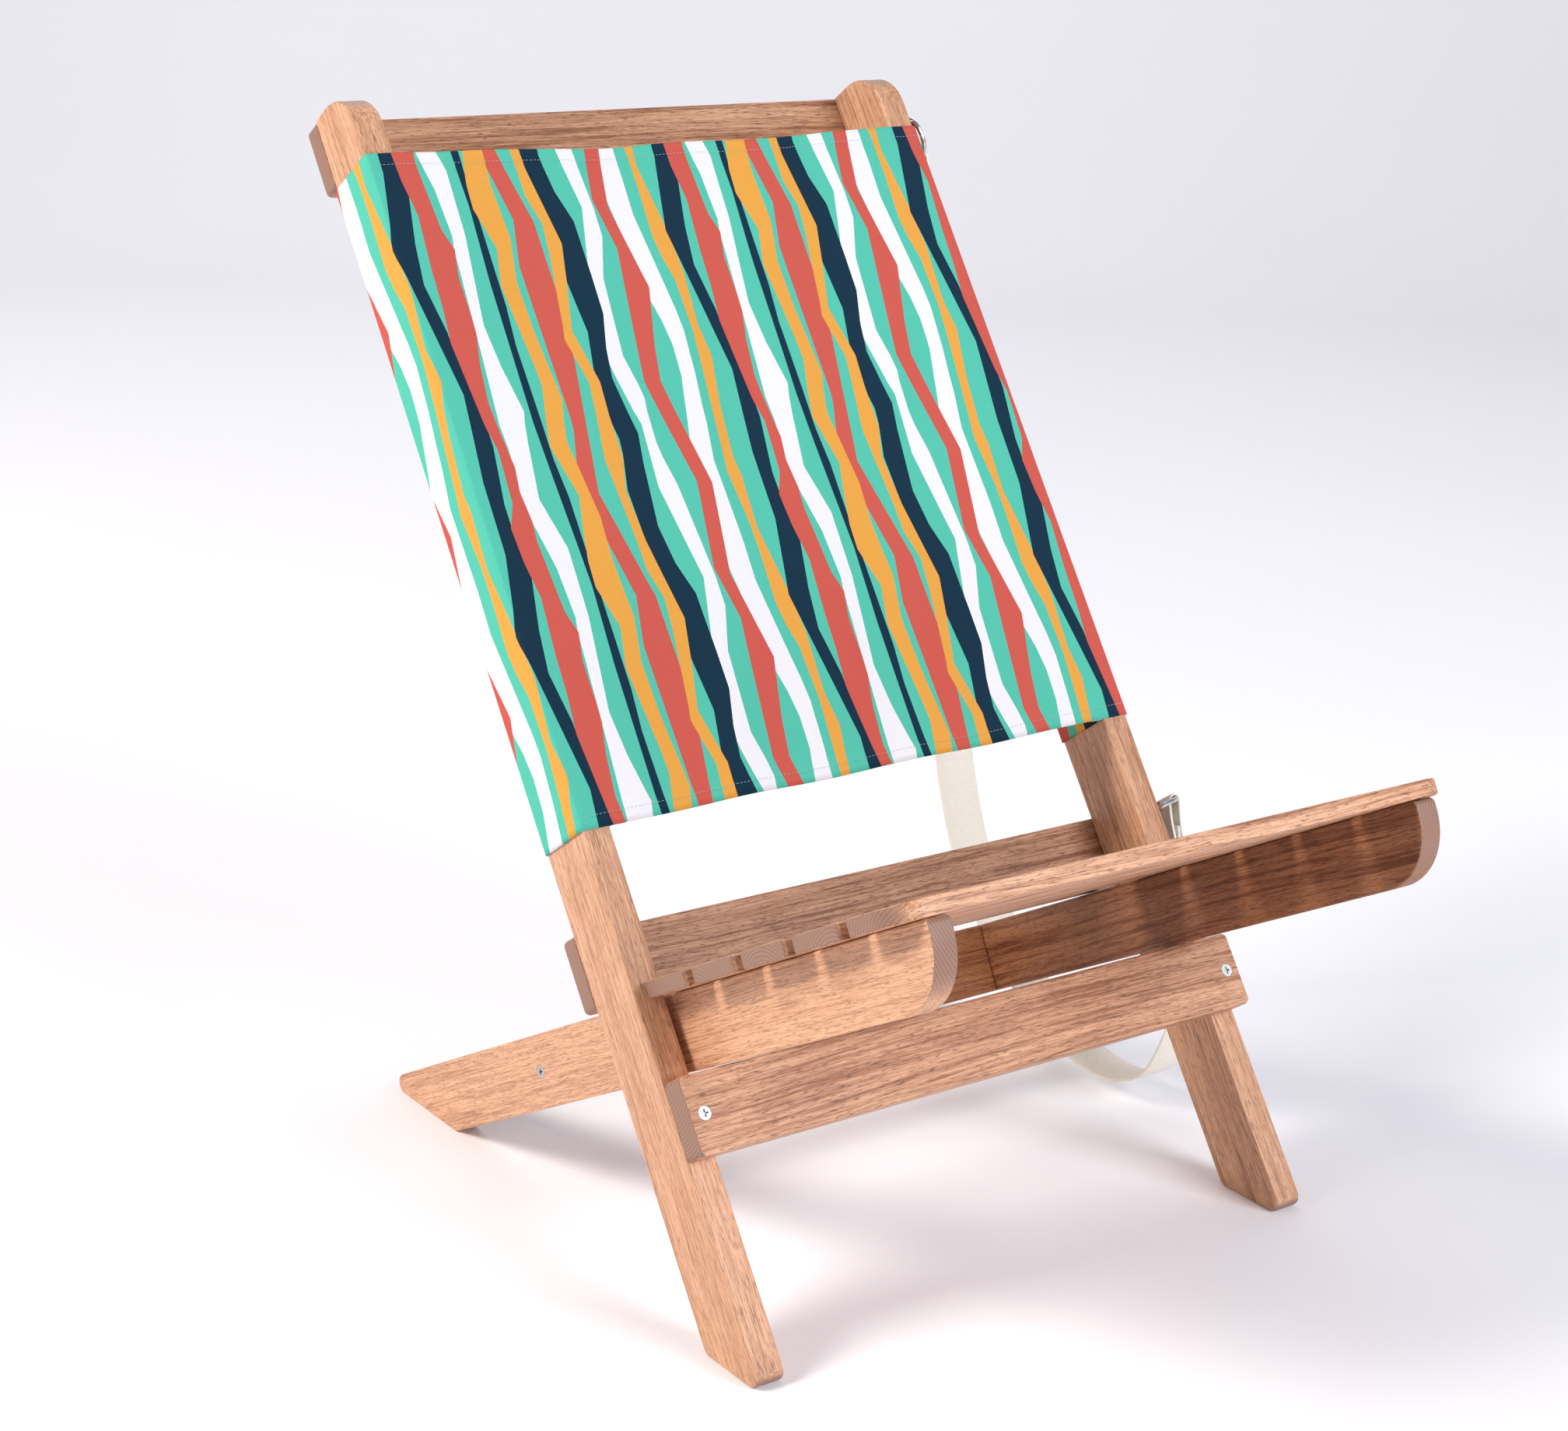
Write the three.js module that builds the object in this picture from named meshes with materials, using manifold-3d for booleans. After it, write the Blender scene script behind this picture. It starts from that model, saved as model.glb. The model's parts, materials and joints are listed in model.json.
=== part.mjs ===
// Two-piece low beach chair: a leaning back frame with a canvas sling, and a slatted seat frame that is
// pushed through the gate between the back frame's two lower stretchers and wedges there by its own slope.
// Millimetres, +Z up, the sitter faces -Y. Each group below works in its own frame:
//   back frame: x across, y = n (depth, 0 at the uprights' front faces, growing backwards), z = s (height
//   along the lean, 0 at the uprights' sharp front-bottom edges);
//   seat frame: x across, y = -q (q is measured forwards and up from the rear feet), z = m (height above
//   the rails' bottom edges).

import * as THREE from 'three';
import { mergeVertices } from 'three/addons/utils/BufferGeometryUtils.js';
import Module from 'manifold-3d';

const wasm = await Module();
wasm.setup();

// ---- driving dimensions -------------------------------------------------------------------------

const GAP = 0.3; // clearance between pieces that touch
const EASE = 1.6; // rounding of every long wooden edge
const CORNER = 4.5; // rounding of a cross board's corners

const WIDTH = 500; // across the uprights' outer faces
const LEAN = THREE.MathUtils.degToRad(35.2); // uprights, back from vertical
const PITCH = THREE.MathUtils.degToRad(28.2); // seat, up from the floor

const UPRIGHT = { thick: 23, deep: 55, length: 977, topRound: 35, footRound: 8 };
const TOP_BOARD = { high: 55, thick: 17 };
const REAR_BOARD = { high: 55, thick: 17 };
const FRONT_BOARD = { high: 56, thick: 22, bottom: 160 };

const RAIL = { thick: 19, high: 55, length: 678, sideGap: 7, noseRound: 46, topRound: 5, heelRound: 8 };
const SLAT = { count: 5, wide: 53.8, thick: 12, gap: 9, overhang: 21, endRound: 3 };
const NOSE_SLAT_ROUND = 27; // plan corners of the front slat
const STOP_GAP = 0.5; // rear slat to the uprights' front faces
const BRACE = { thick: 19, at: 160 }; // board between the rails, q of its middle

const CANVAS = { thick: 1.5, bottom: 398, top: 919, turn: 2.5 };
const TAB = { wide: 40, leather: 2.5, middle: 27, edge: 3 };
const TAB_LOWER = { bar: 326.5, length: 60 };
const TAB_UPPER = { bar: 926, length: 56 };
const RING = { wire: 4, inside: 44, reach: 30, shoulder: 6, corner: 5 };
const RING_HANG = THREE.MathUtils.degToRad(17); // upper ring, outwards from straight down
const RING_LIFT = THREE.MathUtils.degToRad(10); // lower ring, above straight out
const STRAP = { wide: 40, thick: 2.6, steps: 78 };

const FRAME_SCREW = { head: 10, shank: 5, length: 45 };
const SEAT_SCREW = { head: 8, shank: 4, length: 34 };
const TAB_SCREW = { head: 7.5, shank: 3.6, length: 19 };
const SCREW_INSET = 11.5; // from a cross board's end to its screw
const TAB_SCREW_SPAN = 20;

// ---- materials ----------------------------------------------------------------------------------

const finish = (color, roughness, metalness = 0) =>
  new THREE.MeshStandardMaterial({ color, roughness, metalness });
const finishes = {
  wood: finish(0xc48a5f, 0.55),
  canvas: finish(0x3d8f84, 0.9),
  leather: finish(0x7a4b2c, 0.6),
  webbing: finish(0xf0e6d2, 0.9),
  steel: finish(0xc3c6c9, 0.3, 1),
};

// ---- solids -------------------------------------------------------------------------------------

/** A closed manifold solid from a three.js geometry. */
function solid(geometry) {
  const bare = new THREE.BufferGeometry();
  bare.setAttribute('position', geometry.getAttribute('position'));
  if (geometry.index) bare.setIndex(geometry.index);
  const joined = mergeVertices(bare, 1e-4);
  const mesh = new wasm.Mesh({
    numProp: 3,
    vertProperties: new Float32Array(joined.getAttribute('position').array),
    triVerts: new Uint32Array(joined.index.array),
  });
  mesh.merge();
  return new wasm.Manifold(mesh);
}

/** A three.js geometry from a manifold solid. */
function geometryOf(body) {
  const mesh = body.getMesh();
  const geometry = new THREE.BufferGeometry();
  geometry.setAttribute('position', new THREE.BufferAttribute(mesh.vertProperties, 3));
  geometry.setIndex(new THREE.BufferAttribute(mesh.triVerts, 1));
  geometry.computeVertexNormals();
  return geometry;
}

/** An outline through corners [x, y, radius], each rounded by its radius; the corners run anticlockwise. */
function outline(corners) {
  const shape = new THREE.Shape();
  corners.forEach(([x, y, radius], i) => {
    const here = new THREE.Vector2(x, y);
    const before = new THREE.Vector2(...corners.at(i - 1)).sub(here).normalize();
    const after = new THREE.Vector2(...corners[(i + 1) % corners.length]).sub(here).normalize();
    const half = Math.acos(THREE.MathUtils.clamp(before.dot(after), -1, 1)) / 2;
    const start = here.clone().addScaledVector(before, radius / Math.tan(half));
    const end = here.clone().addScaledVector(after, radius / Math.tan(half));
    const centre = here.clone().add(before.clone().add(after).setLength(radius / Math.sin(half)));
    if (i === 0) shape.moveTo(start.x, start.y);
    else shape.lineTo(start.x, start.y);
    const from = start.clone().sub(centre).angle();
    const to = end.clone().sub(centre).angle();
    const clockwise = before.cross(after) > 0;
    shape.absarc(centre.x, centre.y, radius, from, to, clockwise);
  });
  shape.closePath();
  return shape;
}

const rectangle = (x0, y0, x1, y1, radius) =>
  outline([[x0, y0, radius], [x1, y0, radius], [x1, y1, radius], [x0, y1, radius]]);

/** Which way a flat outline's own x, y and thickness run in the frame that it is drawn for. */
const LAY = {
  side: [[0, 1, 0], [0, 0, 1], [1, 0, 0]], // outline in depth and height, thickness across
  front: [[1, 0, 0], [0, 0, 1], [0, -1, 0]], // outline across and up, thickness in depth
  plan: [[1, 0, 0], [0, 1, 0], [0, 0, 1]], // outline across and in depth, thickness up
};

/** A flat piece of this outline, its thickness centred on middle, with long edges rounded by ease. */
function plate(shape, thick, lay, middle, ease = EASE) {
  const geometry = new THREE.ExtrudeGeometry(shape, {
    depth: thick - 2 * ease,
    bevelEnabled: ease > 0,
    bevelThickness: ease,
    bevelSize: ease,
    bevelOffset: -ease,
    bevelSegments: 2,
    curveSegments: 7,
  });
  geometry.translate(0, 0, ease - thick / 2);
  geometry.applyMatrix4(new THREE.Matrix4().makeBasis(...lay.map((axis) => new THREE.Vector3(...axis))));
  geometry.translate(...lay[2].map((part) => Math.abs(part) * middle));
  return solid(geometry);
}

// ---- screws -------------------------------------------------------------------------------------

/** Half outline of a countersunk screw, from its tip up to its head's top at 0, grown by room. */
function screwProfile({ head, shank, length }, room) {
  const neck = -(head - shank) / 2 - 0.6;
  const points = [
    [0, -length - room],
    [shank / 2 + room, -length + shank * 0.8],
    [shank / 2 + room, neck - room],
    [head / 2 + room, -0.6],
    [head / 2 + room, room > 0 ? 3 : 0],
    [0, room > 0 ? 3 : 0],
  ];
  return points.map(([r, h]) => new THREE.Vector2(r, h));
}

/** A screw's solid, or the hole it needs if room is over 0, its head at `at` and its tip towards `into`. */
function screwSolid(spec, at, into, room) {
  let body = solid(new THREE.LatheGeometry(screwProfile(spec, room), 16));
  if (room === 0) body = body.subtract(crossRecess(spec.head));
  const turn = new THREE.Quaternion().setFromUnitVectors(new THREE.Vector3(0, -1, 0), into);
  const place = new THREE.Matrix4().compose(at, turn, new THREE.Vector3(1, 1, 1));
  return solid(geometryOf(body).applyMatrix4(place));
}

/** The cross-shaped driver recess in a head of this size, sunk from just above 0. */
function crossRecess(head) {
  const arm = head * 0.27;
  const slot = head * 0.065;
  const shape = new THREE.Shape([
    [slot, slot], [slot, arm], [-slot, arm], [-slot, slot], [-arm, slot], [-arm, -slot],
    [-slot, -slot], [-slot, -arm], [slot, -arm], [slot, -slot], [arm, -slot], [arm, slot],
  ].map(([x, y]) => new THREE.Vector2(x, y)));
  const geometry = new THREE.ExtrudeGeometry(shape, { depth: head * 0.22 + 1, bevelEnabled: false });
  geometry.rotateX(Math.PI / 2).translate(0, 1, 0);
  return solid(geometry);
}

// ---- a frame that collects its pieces and drills its screws ---------------------------------------

/** One of the chair's two frames: solids by name, each with a finish, drilled where screws pass. */
class Frame {
  constructor() {
    this.pieces = new Map();
  }

  add(name, body, look) {
    this.pieces.set(name, { body, look });
  }

  /** Puts in a screw and cuts its hole in the pieces that it passes through. */
  screw(name, spec, at, into, through) {
    const hole = screwSolid(spec, at, into, GAP);
    for (const piece of through.map((key) => this.pieces.get(key))) {
      piece.body = piece.body.subtract(hole);
    }
    this.add(name, screwSolid(spec, at, into, 0), finishes.steel);
  }

  group(name) {
    const group = new THREE.Group();
    group.name = name;
    for (const [key, { body, look }] of this.pieces) {
      const mesh = new THREE.Mesh(geometryOf(body), look);
      mesh.name = key;
      group.add(mesh);
    }
    return group;
  }
}

// ---- where the two frames meet ------------------------------------------------------------------

const SIN = Math.sin(LEAN);
const COS = Math.cos(LEAN);
const SLOPE = LEAN - PITCH;
const SIDES = [['left', -1], ['right', 1]];

/** Height along the lean of the gate's lower and upper edges: the rails just pass between them. */
const gateBottom = FRONT_BOARD.bottom + FRONT_BOARD.high;
const rearFace = UPRIGHT.deep + GAP + REAR_BOARD.thick;
const frontFace = -GAP - FRONT_BOARD.thick;
const gateTop = gateBottom
  + (RAIL.high + 2 * GAP + (rearFace - frontFace) * Math.sin(SLOPE)) / Math.cos(SLOPE);

/** Where the rails' bottom line meets the floor, from the stretcher edge that it rests on. */
const restY = gateBottom * SIN + frontFace * COS;
const restZ = gateBottom * COS - frontFace * SIN;
const heelY = restY + (restZ * Math.cos(PITCH) + GAP) / Math.sin(PITCH);

/** q of a point of the seat frame at height m that lies at depth n of the back frame. */
const forwardOf = (n, m) => (heelY * COS - m * Math.sin(SLOPE) - n) / Math.cos(SLOPE);

// ---- back frame ---------------------------------------------------------------------------------

const back = new Frame();
const half = WIDTH / 2;

/** Uprights: feet cut to stand flat on the floor, front top corners fully rounded. */
for (const [side, sign] of SIDES) {
  const { thick, deep, length, topRound, footRound } = UPRIGHT;
  const shape = outline([
    [0, 0, footRound],
    [deep, deep * Math.tan(LEAN), footRound],
    [deep, length, EASE * 1.2],
    [0, length, topRound],
  ]);
  back.add(`upright_${side}`, plate(shape, thick, LAY.side, sign * (half - thick / 2)), finishes.wood);
}

/** Cross boards, flush with the uprights' outer faces. */
const boards = {
  crossbar_top: { low: UPRIGHT.length - TOP_BOARD.high, ...TOP_BOARD, face: UPRIGHT.deep + GAP, out: 1 },
  rear_stretcher: { low: gateTop, ...REAR_BOARD, face: UPRIGHT.deep + GAP, out: 1 },
  front_stretcher: { low: FRONT_BOARD.bottom, ...FRONT_BOARD, face: -GAP, out: -1 },
};
for (const [name, { low, high, thick, face, out }] of Object.entries(boards)) {
  const shape = rectangle(-half, low, half, low + high, CORNER);
  back.add(name, plate(shape, thick, LAY.front, face + out * thick / 2), finishes.wood);
}

/** A screw near each end of each cross board, into the uprights. */
for (const [name, { low, high, thick, face, out }] of Object.entries(boards)) {
  for (const [side, sign] of SIDES) {
    const at = new THREE.Vector3(sign * (half - SCREW_INSET), face + out * thick, low + high / 2);
    const into = new THREE.Vector3(0, -out, 0);
    back.screw(`screw_${name}_${side}`, FRAME_SCREW, at, into, [name, `upright_${side}`]);
  }
}

/** Leather tab folded round a ring's straight bar and screwed to the right upright's outer side. */
function leatherTab(bar, length) {
  const eye = RING.wire / 2 + GAP;
  const round = eye + TAB.leather;
  const x = half + GAP;
  const shape = new THREE.Shape();
  shape.moveTo(x, bar + round - length);
  shape.lineTo(x + 2 * TAB.leather, bar + round - length);
  shape.lineTo(x + 2 * TAB.leather, bar - 1.3 * round);
  shape.absarc(x + round, bar, round, -1.1, Math.PI, false);
  shape.closePath();
  const hole = new THREE.Path();
  hole.absarc(x + round, bar, eye, 0, 2 * Math.PI, true);
  shape.holes.push(hole);
  return plate(shape, TAB.wide, LAY.front, TAB.middle, 0.5);
}

const tabs = { lower: TAB_LOWER, upper: TAB_UPPER };
for (const [level, { bar, length }] of Object.entries(tabs)) {
  back.add(`leather_tab_${level}`, leatherTab(bar, length), finishes.leather);
}

/** The canvas: one sheet across the front, its ends carried round each upright and sewn back to it. */
function canvasSling() {
  const { thick, bottom, top, turn } = CANVAS;
  const outer = half + GAP + thick;
  const inner = half - UPRIGHT.thick - GAP - thick;
  const front = -GAP - thick;
  const rear = UPRIGHT.deep + GAP + thick;
  const shape = outline([
    [-outer, front, turn], [outer, front, turn], [outer, rear, turn], [inner, rear, turn],
    [inner, -GAP, turn / 2], [-inner, -GAP, turn / 2], [-inner, rear, turn], [-outer, rear, turn],
  ]);
  const run = { depth: top - bottom, bevelEnabled: false, curveSegments: 3 };
  const across = new THREE.ExtrudeGeometry(shape, run);
  let body = solid(across.translate(0, 0, bottom));
  body = body.add(tabCover(GAP + thick, top));
  body = body.subtract(tabCover(GAP, top + 40));
  for (const [, sign] of SIDES) {
    const middle = sign * (half - UPRIGHT.thick / 2);
    const room = UPRIGHT.thick / 2 + GAP;
    const bore = rectangle(middle - room, -GAP, middle + room, UPRIGHT.deep + GAP, 0.5);
    const through = { depth: UPRIGHT.length, bevelEnabled: false, curveSegments: 1 };
    const cut = new THREE.ExtrudeGeometry(bore, through);
    body = body.subtract(solid(cut));
  }
  return body;
}

/** The block of space round the upper tab's two layers, grown by room and ending at the height `high`. */
function tabCover(room, high) {
  const low = TAB_UPPER.bar + RING.wire / 2 + GAP + TAB.leather - TAB_UPPER.length - room;
  const x = half + GAP + 2 * TAB.leather + room;
  const reach = TAB.wide / 2 + room;
  const shape = rectangle(half - 1, TAB.middle - reach, x, TAB.middle + reach, 0.8);
  const run = { depth: high - low, bevelEnabled: false, curveSegments: 2 };
  return solid(new THREE.ExtrudeGeometry(shape, run).translate(0, 0, low));
}

back.add('canvas_sling', canvasSling(), finishes.canvas);

/** Two screws side by side hold each tab. */
for (const [level, { bar, length }] of Object.entries(tabs)) {
  const up = bar - length * 0.62;
  for (const [place, sign] of [['front', -1], ['rear', 1]]) {
    const at = new THREE.Vector3(half + GAP + 2 * TAB.leather, TAB.middle + sign * TAB_SCREW_SPAN / 2, up);
    const into = new THREE.Vector3(-1, 0, 0);
    const through = [`leather_tab_${level}`, 'upright_right'];
    back.screw(`screw_tab_${level}_${place}`, TAB_SCREW, at, into, through);
  }
}

/** Closed wire ring with a straight bar and a round bow, its bow pointing along reach in the x-z plane. */
function dRing(bar, angle) {
  const w = (RING.inside + RING.wire) / 2;
  const { shoulder, corner, reach } = RING;
  const path = new THREE.Path();
  path.moveTo(-w + corner, 0);
  path.lineTo(w - corner, 0);
  path.quadraticCurveTo(w, 0, w, corner);
  path.lineTo(w, shoulder);
  path.absellipse(0, shoulder, w, reach - shoulder, 0, Math.PI, false);
  path.lineTo(-w, corner);
  path.quadraticCurveTo(-w, 0, -w + corner, 0);
  const eye = half + GAP + RING.wire / 2 + GAP + TAB.leather;
  const points = path.getSpacedPoints(44).slice(0, -1).map(
    ({ x, y }) => new THREE.Vector3(eye + y * Math.cos(angle), TAB.middle + x, bar + y * Math.sin(angle)),
  );
  const loop = new THREE.CatmullRomCurve3(points, true, 'centripetal');
  return solid(new THREE.TubeGeometry(loop, 64, RING.wire / 2, 10, true));
}

back.add('dring_lower', dRing(TAB_LOWER.bar, RING_LIFT), finishes.steel);
back.add('dring_upper', dRing(TAB_UPPER.bar, RING_HANG - Math.PI / 2), finishes.steel);

// ---- seat frame ---------------------------------------------------------------------------------

const seat = new Frame();
const railOut = half - UPRIGHT.thick - RAIL.sideGap;
const railIn = railOut - RAIL.thick;

/** Rails: heels cut to stand flat on the floor, the front ends rounded up from below. */
for (const [side, sign] of SIDES) {
  const { thick, high, length, noseRound, topRound, heelRound } = RAIL;
  const shape = outline([
    [-length, 0, noseRound],
    [0, 0, heelRound / 2],
    [high / Math.tan(PITCH), high, heelRound],
    [-length, high, topRound],
  ]);
  seat.add(`seat_rail_${side}`, plate(shape, thick, LAY.side, sign * (railOut - thick / 2)), finishes.wood);
}

/** Slats from the uprights' front faces forwards, the last one with its plan corners rounded. */
const slatLow = RAIL.high + GAP;
const slatBack = forwardOf(-STOP_GAP, slatLow);
const slatHalf = railOut + SLAT.overhang;
for (let i = 0; i < SLAT.count; i += 1) {
  const near = slatBack + i * (SLAT.wide + SLAT.gap);
  const far = near + SLAT.wide;
  const round = i === SLAT.count - 1 ? NOSE_SLAT_ROUND : SLAT.endRound;
  const shape = outline([
    [-slatHalf, -far, round], [slatHalf, -far, round],
    [slatHalf, -near, SLAT.endRound], [-slatHalf, -near, SLAT.endRound],
  ]);
  const name = `slat_${i + 1}`;
  seat.add(name, plate(shape, SLAT.thick, LAY.plan, slatLow + SLAT.thick / 2), finishes.wood);
  for (const [side, sign] of SIDES) {
    const x = sign * (railOut - RAIL.thick / 2);
    const at = new THREE.Vector3(x, -(near + far) / 2, slatLow + SLAT.thick);
    const held = [name, `seat_rail_${side}`];
    seat.screw(`screw_${name}_${side}`, SEAT_SCREW, at, new THREE.Vector3(0, 0, -1), held);
  }
}

/** Brace between the rails near their heels, screwed through each rail. */
const braceHalf = railIn - GAP;
const brace = rectangle(-braceHalf, 0, braceHalf, RAIL.high, EASE);
seat.add('seat_brace', plate(brace, BRACE.thick, LAY.front, -BRACE.at, 1), finishes.wood);
for (const [side, sign] of SIDES) {
  const at = new THREE.Vector3(sign * railOut, -BRACE.at, RAIL.high / 2);
  const held = [`seat_rail_${side}`, 'seat_brace'];
  seat.screw(`screw_brace_${side}`, FRAME_SCREW, at, new THREE.Vector3(-sign, 0, 0), held);
}

// ---- carry strap --------------------------------------------------------------------------------

/** Middle of the hanging strap from the upper ring down behind the uprights and up to the lower ring. */
const STRAP_ROUTE = [
  [263.6, 536, 702], [263, 531.5, 676], [262, 524, 640], [261, 514, 590], [260, 503, 530],
  [259.5, 492, 465], [259, 480, 395], [258.5, 467, 320], [258, 451, 240], [258, 438, 195],
  [258, 422, 158], [259, 404, 127], [260, 382, 100], [262, 356, 74], [265, 326, 50],
  [268, 294, 30], [272, 258, 18], [276, 225, 19], [280, 198, 35], [283, 186, 65],
  [284.4, 185, 100], [284.6, 191, 145], [284.6, 201, 195], [284.6, 208, 225], [284.6, 211, 238],
];

/** Share of the route, from each end, where the strap turns a quarter from the ring's bar to level. */
const STRAP_TURNS = [[0.12, 0.34], [0.97, 0.8]];

/** Flat strap along the route: its width follows the rings' bars at the ends and lies level between. */
function carryStrap() {
  const w = STRAP.wide / 2;
  const t = STRAP.thick / 2;
  const section = new THREE.Shape([
    [-w, -t * 0.4], [-w + t, -t], [w - t, -t], [w, -t * 0.4],
    [w, t * 0.4], [w - t, t], [-w + t, t], [-w, t * 0.4],
  ].map(([x, y]) => new THREE.Vector2(x, y)));
  const run = { depth: 1, steps: STRAP.steps, bevelEnabled: false };
  const geometry = new THREE.ExtrudeGeometry(section, run);
  const points = STRAP_ROUTE.map((p) => new THREE.Vector3(...p));
  const route = new THREE.CatmullRomCurve3(points, false, 'centripetal');
  const level = new THREE.Vector3(1, 0, 0);
  const place = geometry.getAttribute('position');
  for (let i = 0; i < place.count; i += 1) {
    const share = place.getZ(i);
    const ahead = route.getTangentAt(share);
    const edge = new THREE.Vector3().crossVectors(ahead, level).normalize();
    const turned = Math.max(...STRAP_TURNS.map(([from, to]) => THREE.MathUtils.smoothstep(
      (to - share) / (to - from), 0, 1)));
    const angle = turned * Math.PI / 2;
    const across = level.clone().multiplyScalar(Math.cos(angle)).addScaledVector(edge, Math.sin(angle));
    across.addScaledVector(ahead, -across.dot(ahead)).normalize();
    const through = new THREE.Vector3().crossVectors(ahead, across);
    const point = route.getPointAt(share).addScaledVector(across, place.getX(i));
    point.addScaledVector(through, place.getY(i));
    place.setXYZ(i, point.x, point.y, point.z);
  }
  return solid(geometry);
}

// ---- the chair ----------------------------------------------------------------------------------

const backGroup = back.group('back_frame');
backGroup.rotation.x = -LEAN;

const seatGroup = seat.group('seat_frame');
seatGroup.position.y = heelY;
seatGroup.rotation.x = -PITCH;

const chair = new THREE.Group();
chair.name = 'beach_chair';
chair.add(backGroup, seatGroup);

/** The origin is under the middle of the chair's box, on the floor; the loose strap isn't counted. */
chair.updateMatrixWorld(true);
const box = new THREE.Box3().setFromObject(chair, true);
const centre = box.getCenter(new THREE.Vector3());

const strap = new THREE.Mesh(geometryOf(carryStrap()), finishes.webbing);
strap.name = 'carry_strap';
chair.add(strap);
chair.position.set(-centre.x, -centre.y, -box.min.z);

export default chair;
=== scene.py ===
"""Two-piece low beach chair: its finished look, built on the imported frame.

The back frame leans: n is depth behind the uprights' front faces and s the height along the lean. Every
new piece is worked out in metres in the frame's own axes.
"""

import json
import math

import bmesh
import bpy
import numpy as np
from mathutils import Matrix, Vector


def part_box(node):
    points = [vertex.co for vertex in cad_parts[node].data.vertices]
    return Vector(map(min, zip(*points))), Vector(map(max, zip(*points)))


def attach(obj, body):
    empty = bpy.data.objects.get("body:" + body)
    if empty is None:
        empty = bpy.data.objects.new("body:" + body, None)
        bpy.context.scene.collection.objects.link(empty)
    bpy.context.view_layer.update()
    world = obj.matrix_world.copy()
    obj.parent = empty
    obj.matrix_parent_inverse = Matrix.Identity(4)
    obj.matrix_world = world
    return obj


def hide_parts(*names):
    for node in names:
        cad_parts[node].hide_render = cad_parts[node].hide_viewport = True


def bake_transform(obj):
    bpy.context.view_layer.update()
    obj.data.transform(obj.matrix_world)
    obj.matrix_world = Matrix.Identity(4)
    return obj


bl_info = {
    "name": "Beach chair",
    "version": (1, 0, 0),
    "blender": (4, 5, 0),
    "location": "View3D > Sidebar > Beach chair",
    "description": "Two-piece wooden beach chair with a printed canvas sling and a carry strap",
    "category": "Add Mesh",
}

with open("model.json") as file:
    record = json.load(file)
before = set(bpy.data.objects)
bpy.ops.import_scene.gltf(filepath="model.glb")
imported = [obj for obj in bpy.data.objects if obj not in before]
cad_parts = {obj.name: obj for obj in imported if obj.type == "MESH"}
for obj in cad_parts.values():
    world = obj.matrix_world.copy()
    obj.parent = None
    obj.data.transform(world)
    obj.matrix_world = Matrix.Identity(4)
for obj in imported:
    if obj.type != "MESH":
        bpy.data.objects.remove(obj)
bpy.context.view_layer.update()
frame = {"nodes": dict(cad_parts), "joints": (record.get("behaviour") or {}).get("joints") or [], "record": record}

# ---- the back frame's own axes, from the upper ring's hinge ---------------------------------------

JOINTS = {joint["name"]: joint for joint in frame["joints"]}
RING_UPPER = np.array(JOINTS["ring_upper_swing"]["pos_m"])
RING_LOWER = np.array(JOINTS["ring_lower_swing"]["pos_m"])
ACROSS = np.array([1.0, 0.0, 0.0])
DEPTH = -np.array(JOINTS["ring_upper_swing"]["axis"])
HEIGHT = np.cross(ACROSS, DEPTH)
SEAT_WAY = np.array(JOINTS["seat_lift"]["axis"])
RING_DEPTH = 0.027
RING_UPPER_HEIGHT = 0.926
MIDDLE = (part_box("crossbar_top")[0].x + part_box("crossbar_top")[1].x) / 2
HALF = (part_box("crossbar_top")[1].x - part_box("crossbar_top")[0].x) / 2
CORNER = RING_UPPER - RING_DEPTH * DEPTH - RING_UPPER_HEIGHT * HEIGHT
CORNER[0] = MIDDLE
UPRIGHT_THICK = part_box("upright_left")[1].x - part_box("upright_left")[0].x
UPRIGHT_DEEP = 0.055


def lean(x, n, s):
    """Points of the back frame: CORNER + x across + n in depth + s in height, for arrays of one shape."""
    x, n, s = np.broadcast_arrays(x, n, s)
    return CORNER + x[..., None] * ACROSS + n[..., None] * DEPTH + s[..., None] * HEIGHT


# ---- colours ------------------------------------------------------------------------------------


def linear(red, green, blue):
    """Display colour 0-255 to linear 0-1: ((c + 0.055) / 1.055) ** 2.4 above 0.04, c / 12.92 below."""
    parts = np.array([red, green, blue]) / 255
    return tuple(np.where(parts > 0.04045, ((parts + 0.055) / 1.055) ** 2.4, parts / 12.92))


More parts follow.
